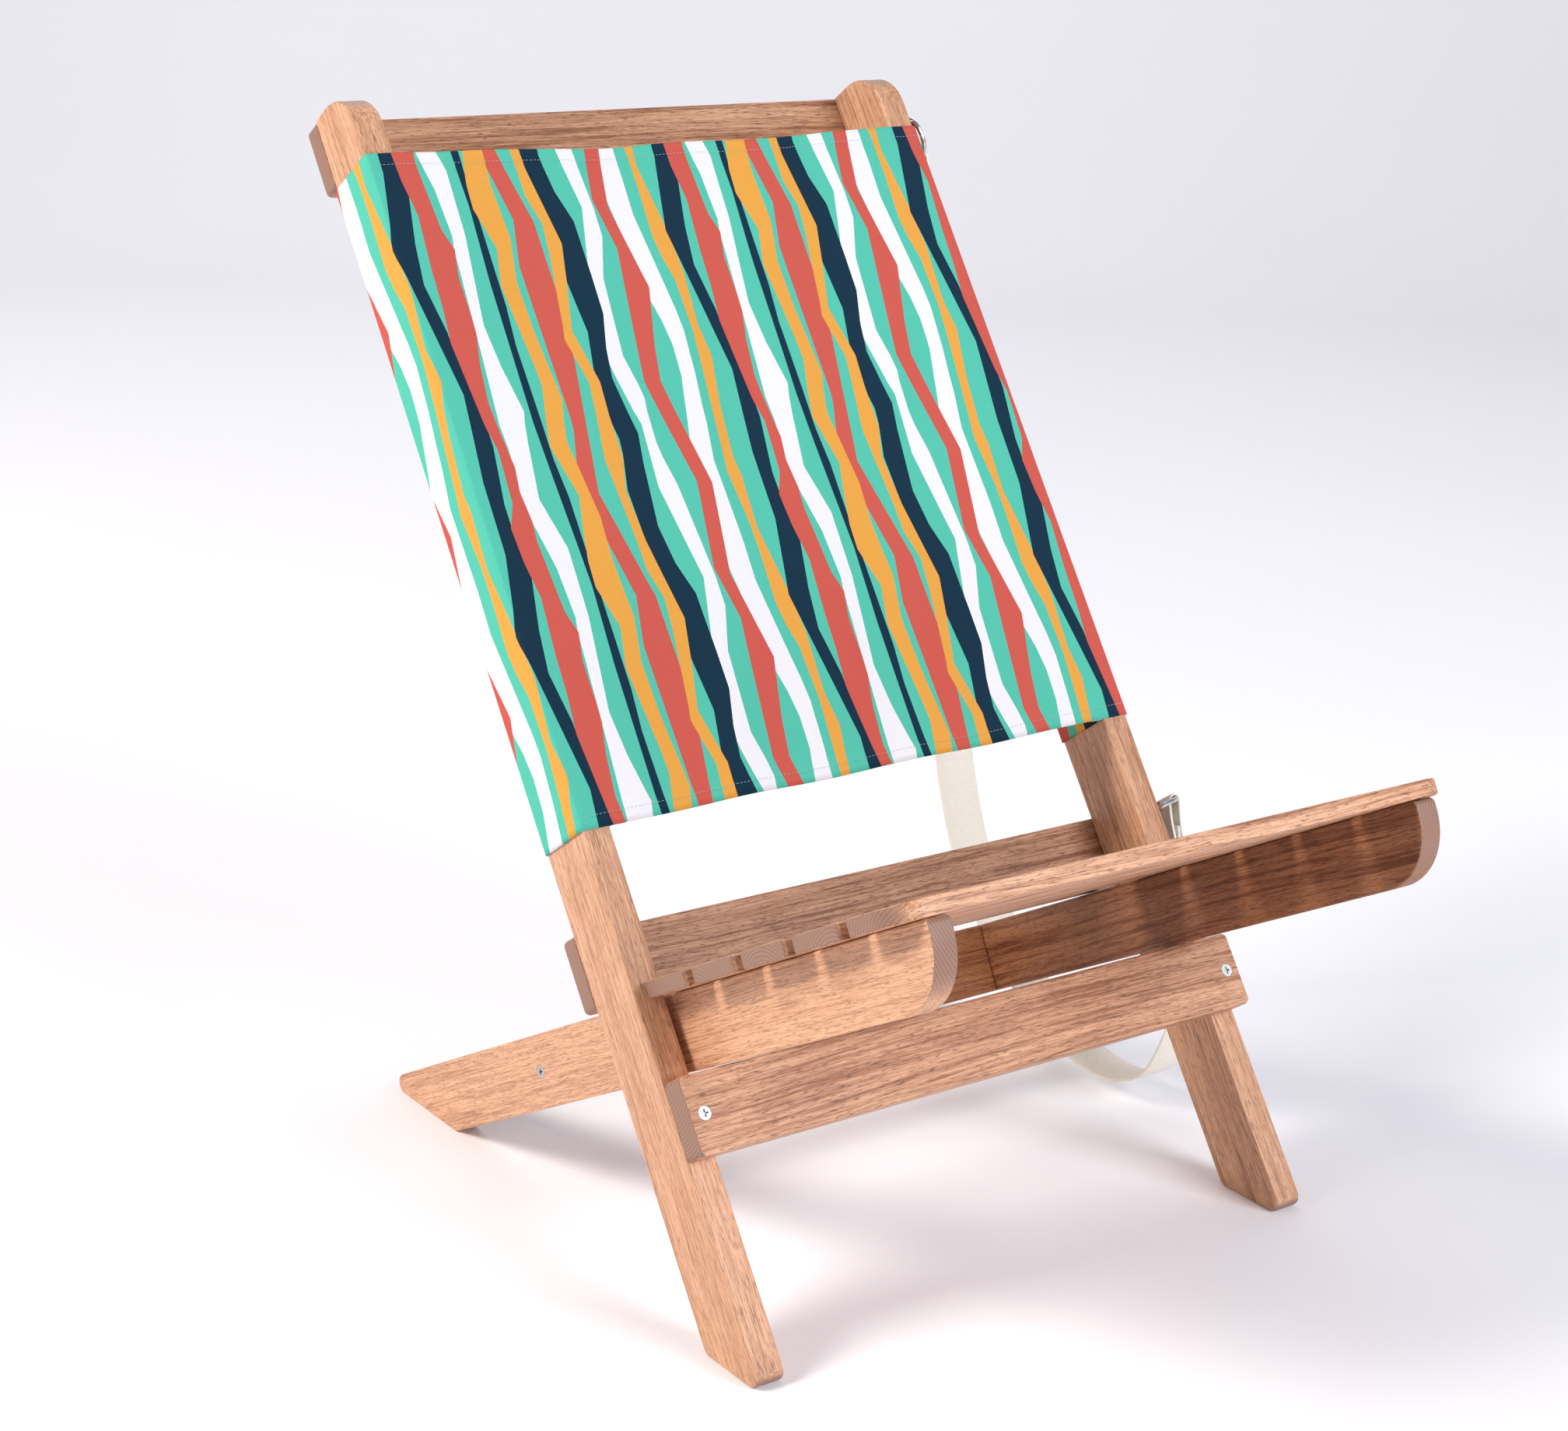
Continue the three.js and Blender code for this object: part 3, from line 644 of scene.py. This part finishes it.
class CHAIR_OT_canvas(bpy.types.Operator):
    """Printed canvas sling with its sleeves, hems and stitching"""

    bl_idname = "chair.canvas"
    bl_label = "Canvas sling"

    def execute(self, context):
        sizes = context.scene.chair_sizes
        points, uv, (x, n, s) = canvas_surface(sizes, CANVAS_STEP, CANVAS_ROWS)
        rows, columns = points.shape[:2]
        front = printed_canvas("canvas_print", 1.0)
        canvas = add_mesh("canvas", points, grid_faces(rows, columns), front, uv)
        canvas.data.materials.append(printed_canvas("canvas_reverse", 0.45))
        shell = canvas.modifiers.new("cloth", "SOLIDIFY")
        shell.thickness = sizes.canvas_thick
        shell.offset = 0
        shell.material_offset = 1
        shell.material_offset_rim = 0
        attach(canvas, "back_frame")
        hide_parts("canvas_sling")
        sewing = thread("canvas_thread", linear(186, 196, 192))
        front_columns = np.flatnonzero((np.abs(x[0]) < HALF) & (n[0] < 0.0006))
        lift = sizes.canvas_thick / 2 + 0.0002
        for name, row in (("hem_stitches_upper", rows - 3), ("hem_stitches_lower", 2)):
            path = points[row][front_columns] - lift * DEPTH
            piece = stitches(name, path, -DEPTH, sizes.stitch, sewing)
            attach(piece, "back_frame")
        return {"FINISHED"}


# ---- carry strap --------------------------------------------------------------------------------

# Middle of the hanging strap, in millimetres from the back frame's front bottom edge at the middle.
STRAP_ROUTE = np.array([
    [263.6, 536, 702], [263, 531.5, 676], [262, 524, 640], [261, 514, 590], [260, 503, 530],
    [259.5, 492, 465], [259, 480, 395], [258.5, 467, 320], [258, 451, 240], [258, 438, 195],
    [258, 422, 158], [259, 404, 127], [260, 382, 100], [262, 356, 74], [265, 326, 50],
    [268, 294, 30], [272, 258, 18], [276, 225, 19], [280, 198, 35], [283, 186, 65],
    [284.4, 185, 100], [284.6, 191, 145], [284.6, 201, 195], [284.6, 208, 225], [284.6, 211, 238],
]) / 1000
STRAP_TURNS = ((0.12, 0.34), (0.97, 0.80))
STRAP_FOLD = 0.55
FOLD_LENGTH = 0.060
RING_REACH = 0.030
RING_SHOULDER = 0.006
RING_HALF = 0.024
RING_WIRE = 0.002
LOOP_LEG = 0.052
LOOP_FADE = 0.040
RING_ANGLES = {"ring_upper": math.radians(17 - 90), "ring_lower": math.radians(10)}


def smooth_route(points, count):
    """Points evenly spaced along a Catmull-Rom curve: each span is a cubic with the ends' mean slopes."""
    ends = np.concatenate([[2 * points[0] - points[1]], points, [2 * points[-1] - points[-2]]])
    t = np.linspace(0, 1, 24, endpoint=False)[None, :, None]
    p0, p1, p2, p3 = (ends[i:len(ends) - 3 + i][:, None] for i in range(4))
    curve = p1 + 0.5 * t * (p2 - p0 + t * (2 * p0 - 5 * p1 + 4 * p2 - p3 + t * (3 * (p1 - p2) + p3 - p0)))
    curve = np.concatenate([curve.reshape(-1, 3), points[-1:]])
    run = np.concatenate([[0], np.cumsum(np.linalg.norm(np.diff(curve, axis=0), axis=1))])
    at = np.linspace(0, run[-1], count)
    return np.stack([np.interp(at, run, curve[:, i]) for i in range(3)], 1), run[-1]


def strap_axes(path):
    """For each point: its direction, its width direction and the way through its thickness.

    The width lies level along x and turns by a quarter, on a smooth step, towards both ends.
    """
    ahead = np.gradient(path, axis=0)
    ahead /= np.linalg.norm(ahead, axis=1, keepdims=True)
    edge = np.cross(ahead, ACROSS)
    edge /= np.linalg.norm(edge, axis=1, keepdims=True)
    share = np.linspace(0, 1, len(path))
    turned = np.max([np.clip((to - share) / (to - start), 0, 1) for start, to in STRAP_TURNS], axis=0)
    angle = (turned * turned * (3 - 2 * turned) * math.pi / 2)[:, None]
    wide = ACROSS * np.cos(angle) + edge * np.sin(angle)
    wide -= ahead * np.sum(ahead * wide, axis=1, keepdims=True)
    wide /= np.linalg.norm(wide, axis=1, keepdims=True)
    return ahead, wide, np.cross(ahead, wide)


def strap_ribbon(path, wide, thick):
    """The strap's surface: at each path point a flat ring, point = path + a wide + b through.

    a = half width times the sine and b = half thickness times the cosine of the ring's angle, both drawn out
    to a flat oval by a power below one. Over FOLD_LENGTH from each end a shrinks on a smooth step to the
    share STRAP_FOLD and b grows by half, because the webbing is folded where it goes through a ring.
    """
    ahead, across, through = strap_axes(path)
    run = np.concatenate([[0], np.cumsum(np.linalg.norm(np.diff(path, axis=0), axis=1))])
    fold = 1 - np.clip((np.minimum(run, run[-1] - run) - 0.02) / FOLD_LENGTH, 0, 1)
    fold = (fold * fold * (3 - 2 * fold))[:, None]
    angle = np.linspace(0, 2 * math.pi, 20, endpoint=False)
    a = wide / 2 * np.sign(np.sin(angle)) * np.abs(np.sin(angle)) ** 0.6
    b = thick / 2 * np.sign(np.cos(angle)) * np.abs(np.cos(angle)) ** 0.35
    uv = np.stack(np.broadcast_arrays(a[None], run[:, None]), -1)
    a = a * (1 - (1 - STRAP_FOLD) * fold)
    b = b * (1 + 0.5 * fold)
    return path[:, None] + a[..., None] * across[:, None] + b[..., None] * through[:, None], uv


def strap_loop(ring, centre, path, wide, thick):
    """The sewn end that goes round the ring's bow: a U of two legs beside the strap and a half turn.

    A point is the path at distance d below the bow, plus its side times the way through the strap, plus its
    share of the width. Near the bow the width follows the ring's bar and the legs follow the bow's curve,
    whose reach is shoulder + (reach - shoulder) sqrt(1 - (w / half) ^ 2).
    """
    out = math.cos(RING_ANGLES[ring]) * ACROSS + math.sin(RING_ANGLES[ring]) * HEIGHT
    apex = centre + RING_REACH * out
    line = np.concatenate([apex[None], path])
    run = np.concatenate([[0], np.cumsum(np.linalg.norm(np.diff(line, axis=0), axis=1))])
    ahead, across, through = (np.concatenate([a[:1], a]) for a in strap_axes(path))
    leg = np.linspace(LOOP_LEG, 0, 12)
    turn = np.linspace(0, math.pi, 9)[1:-1]
    gap = RING_WIRE + thick * 0.85
    down = np.concatenate([leg, np.zeros(len(turn)), leg[::-1]])
    rise = np.concatenate([0 * leg, gap * np.sin(turn), 0 * leg])
    side = np.concatenate([-np.ones(len(leg)), -np.cos(turn), np.ones(len(leg))])
    fade = np.clip(1 - down / LOOP_FADE, 0, 1) ** 2 * (1 + 2 * np.clip(down / LOOP_FADE, 0, 1))
    place = np.stack([np.interp(down, run, line[:, i]) for i in range(3)], 1)
    axes = [np.stack([np.interp(down, run, a[:, i]) for i in range(3)], 1) for a in (ahead, across, through)]
    bar = DEPTH * np.sign(axes[1] @ DEPTH)[:, None]
    width = axes[1] * (1 - fade[:, None]) + bar * fade[:, None]
    width /= np.linalg.norm(width, axis=1, keepdims=True)
    spread = gap * fade + thick * 1.02 * (1 - fade)
    w = np.linspace(-1, 1, 15)
    half = wide / 2 * (1 - 0.12 * fade)
    bow = np.sqrt(1 - (w[None] * half[:, None] / RING_HALF) ** 2)
    reach = RING_SHOULDER + (RING_REACH - RING_SHOULDER) * bow
    back = (RING_REACH - reach) * fade[:, None]
    points = (place + axes[2] * (side * spread)[:, None] - axes[0] * rise[:, None])[:, None]
    points = points + (w[None] * half[:, None])[..., None] * width[:, None] - back[..., None] * out
    length = np.concatenate([[0], np.cumsum(np.linalg.norm(np.diff(points[:, 7], axis=0), axis=1))])
    uv = np.stack(np.broadcast_arrays(w[None] * wide / 2, length[:, None]), -1)
    return points, uv


class CHAIR_OT_strap(bpy.types.Operator):
    """Cotton carry strap, sewn round both rings"""

    bl_idname = "chair.strap"
    bl_label = "Carry strap"

    def execute(self, context):
        sizes = context.scene.chair_sizes
        cloth = webbing("strap_webbing")
        path, length = smooth_route(CORNER + STRAP_ROUTE, 260)
        points, uv = strap_ribbon(path, sizes.strap_wide, sizes.strap_thick)
        strap = add_mesh("strap", points, grid_faces(*points.shape[:2], wrap_columns=True), cloth, uv)
        close_ends(strap)
        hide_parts("carry_strap")
        loops = []
        sewing = thread("strap_thread", linear(232, 222, 204))
        for ring, centre, line in (("ring_upper", RING_UPPER, path), ("ring_lower", RING_LOWER, path[::-1])):
            folded = (sizes.strap_wide * STRAP_FOLD, sizes.strap_thick * 1.5)
            points, uv = strap_loop(ring, centre, line, *folded)
            loop = add_mesh("strap_end_" + ring[5:], points, grid_faces(*points.shape[:2]), cloth, uv)
            shell = loop.modifiers.new("cloth", "SOLIDIFY")
            shell.thickness = sizes.strap_thick * 0.8
            shell.offset = 0
            loops.append(loop)
            for number, row in enumerate((4, 9, -5, -10)):
                facing = np.cross(points[row, 9] - points[row, 5], points[row + 1, 7] - points[row - 1, 7])
                facing /= np.linalg.norm(facing)
                facing *= np.sign(facing @ (points[row, 7] - points[-row - 1, 7]))
                seam = points[row, 1:-1] + facing * sizes.strap_thick * 0.45
                loops.append(stitches(f"{loop.name}_seam_{number}", seam, facing, sizes.stitch, sewing))
            for piece in loops[-5:]:
                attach(piece, ring)
        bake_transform(strap)
        return {"FINISHED"}


# ---- wooden pieces, metal and leather -----------------------------------------------------------


class CHAIR_OT_woodwork(bpy.types.Operator):
    """Every board of the two frames, in oiled hardwood with its own grain"""

    bl_idname = "chair.woodwork"
    bl_label = "Woodwork"

    def execute(self, context):
        level, up, forward = tuple(ACROSS), tuple(HEIGHT), tuple(SEAT_WAY)
        boards = {
            "upright_left": (up, (0.05, -0.03, 0.00), 0.5, 1.00),
            "upright_right": (up, (-0.06, -0.02, 0.01), 0.6, 0.95),
            "crossbar_top": (level, (0.0, 0.06, -0.05), 1.0, 0.88),
            "rear_stretcher": (level, (0.0, -0.07, 0.05), 1.2, 0.88),
            "front_stretcher": (level, (0.0, 0.05, 0.03), 1.0, 0.97),
            "seat_rail_left": (forward, (0.07, 0.02, 0.02), 0.4, 1.03),
            # The right seat rail's darker, redder tone is painted shade: the shade beneath the slats.
            "seat_rail_right": (forward, (-0.07, 0.01, 0.04), 1.2, (0.50, 0.40, 0.32)),
            # The seat brace's darker, redder tone is painted shade under the seat.
            "seat_brace": (level, (0.0, 0.06, 0.06), 0.8, (0.92, 0.80, 0.66)),
        }
        for number in range(1, 6):
            offset = (0.0, 0.05 - 0.02 * number, -0.045 + 0.006 * number)
            boards[f"slat_{number}"] = (level, offset, 1.0, 0.90 + 0.035 * number)
        for node, (way, offset, streaks, tone_and_shade) in boards.items():
            low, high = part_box(node)
            pith = (low + high) / 2 + Vector(offset)
            smooth_copy(node, wood("wood_" + node, way, pith, streaks, tone_and_shade))
        return {"FINISHED"}


class CHAIR_OT_metal(bpy.types.Operator):
    """Stainless rings and countersunk screws"""

    bl_idname = "chair.metal"
    bl_label = "Rings and screws"

    def execute(self, context):
        rings, screws = steel("steel_ring", 0.16, 1.0), steel("steel_screw", 0.46, 0.9)
        for node in frame["nodes"]:
            if node.startswith(("dring", "screw")):
                smooth_copy(node, rings if node.startswith("dring") else screws)
        return {"FINISHED"}


class CHAIR_OT_tabs(bpy.types.Operator):
    """Leather tabs folded round the rings' bars"""

    bl_idname = "chair.tabs"
    bl_label = "Leather tabs"

    def execute(self, context):
        hide = leather("leather_tab")
        for node in ("leather_tab_lower", "leather_tab_upper"):
            smooth_copy(node, hide)
        return {"FINISHED"}


# ---- stage --------------------------------------------------------------------------------------


def stage_sweep():
    """Floor that curves up into a backdrop: flat, then a quarter circle of 1.6 m, then straight up."""
    turn = np.linspace(0, math.pi / 2, 24)
    depth = np.concatenate([[-9.0, 4.0], 4.0 + 1.6 * np.sin(turn), [5.6]])
    height = np.concatenate([[0, 0], 1.6 - 1.6 * np.cos(turn), [7.0]])
    x = np.linspace(-9, 9, 3)[:, None]
    way = np.array([math.sin(math.radians(36)), math.cos(math.radians(36)), 0])
    side = np.array([way[1], -way[0], 0])
    return x[..., None] * side + depth[None, :, None] * way + height[None, :, None] * np.array([0, 0, 1.0])


class CHAIR_OT_stage(bpy.types.Operator):
    """Pale floor and backdrop, soft studio light and the camera"""

    bl_idname = "chair.stage"
    bl_label = "Stage"

    def execute(self, context):
        kit = Nodes("stage_paper")
        place = kit.add("TexCoord").outputs["Object"]
        cloud = kit.noise(place, 1.2, 2.0, 0.5)
        kit.set(Base_Color=kit.mix(cloud, linear(240, 240, 244), linear(244, 244, 248)), Roughness=0.9,
                Emission_Color=(0.95, 0.97, 1.0), Emission_Strength=0.04)
        points = stage_sweep()
        floor = add_mesh("stage_floor", points, grid_faces(*points.shape[:2])[:, ::-1], kit.material)
        world = bpy.data.worlds.new("studio")
        context.scene.world = world
        world.use_nodes = True
        world.node_tree.nodes["Background"].inputs["Color"].default_value = (*linear(236, 240, 252), 1)
        world.node_tree.nodes["Background"].inputs["Strength"].default_value = 0.30
        lamps = (
            ("key", (-4.2, 1.4, 3.8), 2.0, 295.0, (255, 247, 238)),
            ("front", (1.5, -4.4, 2.6), 2.6, 215.0, (248, 249, 255)),
            ("rear", (1.5, 3.4, 3.4), 2.6, 26.0, (248, 249, 255)),
        )
        for name, place, size, power, colour in lamps:
            light = bpy.data.lights.new(name, "AREA")
            light.size = size
            light.energy = power
            light.color = linear(*colour)
            lamp = bpy.data.objects.new(name, light)
            lamp.location = place
            lamp.rotation_euler = (Vector((0, 0, 0.35)) - lamp.location).to_track_quat("-Z", "Y").to_euler()
            context.scene.collection.objects.link(lamp)
        set_camera(context.scene)
        context.scene.view_settings.view_transform = "Standard"
        return {"FINISHED"}


def set_camera(scene):
    """A camera left of the front and above the chair: its turn is azimuth, then tilt, then roll."""
    azimuth, tilt, roll = (math.radians(a) for a in (36.02, 17.33, 1.64))
    lens = bpy.data.cameras.new("camera")
    lens.lens = 68.46
    lens.sensor_width = 36
    camera = bpy.data.objects.new("camera", lens)
    turn = Matrix.Rotation(-azimuth, 4, "Z") @ Matrix.Rotation(math.pi / 2 - tilt, 4, "X")
    turn = turn @ Matrix.Rotation(roll, 4, "Z")
    place = CORNER + np.array([-1.2722, -1.4084, 1.0137])
    camera.matrix_world = Matrix.Translation(place) @ turn
    scene.collection.objects.link(camera)
    scene.camera = camera


# ---- add-on -------------------------------------------------------------------------------------

STEPS = (CHAIR_OT_strap, CHAIR_OT_canvas, CHAIR_OT_woodwork, CHAIR_OT_metal, CHAIR_OT_tabs, CHAIR_OT_stage)


class CHAIR_PT_panel(bpy.types.Panel):
    """Lists the chair's pieces"""

    bl_idname = "CHAIR_PT_panel"
    bl_label = "Beach chair"
    bl_space_type = "VIEW_3D"
    bl_region_type = "UI"
    bl_category = "Beach chair"

    def draw(self, context):
        for step in STEPS:
            self.layout.operator(step.bl_idname)
        for group in (context.scene.chair_sizes, context.scene.chair_finish):
            for name in group.__annotations__:
                self.layout.prop(group, name)


CLASSES = (ChairFinish, ChairSizes, *STEPS, CHAIR_PT_panel)


def register():
    """Adds the classes and the two groups of properties."""
    for cls in CLASSES:
        bpy.utils.register_class(cls)
    bpy.types.Scene.chair_finish = bpy.props.PointerProperty(type=ChairFinish)
    bpy.types.Scene.chair_sizes = bpy.props.PointerProperty(type=ChairSizes)


def unregister():
    """Takes away what register added, in the opposite order."""
    del bpy.types.Scene.chair_sizes
    del bpy.types.Scene.chair_finish
    for cls in reversed(CLASSES):
        bpy.utils.unregister_class(cls)


def main():
    register()
    bpy.ops.chair.stage()
    for name in ("strap", "canvas", "woodwork", "metal", "tabs"):
        getattr(bpy.ops.chair, name)()
    bpy.context.view_layer.update()


if __name__ == "__main__":
    main()
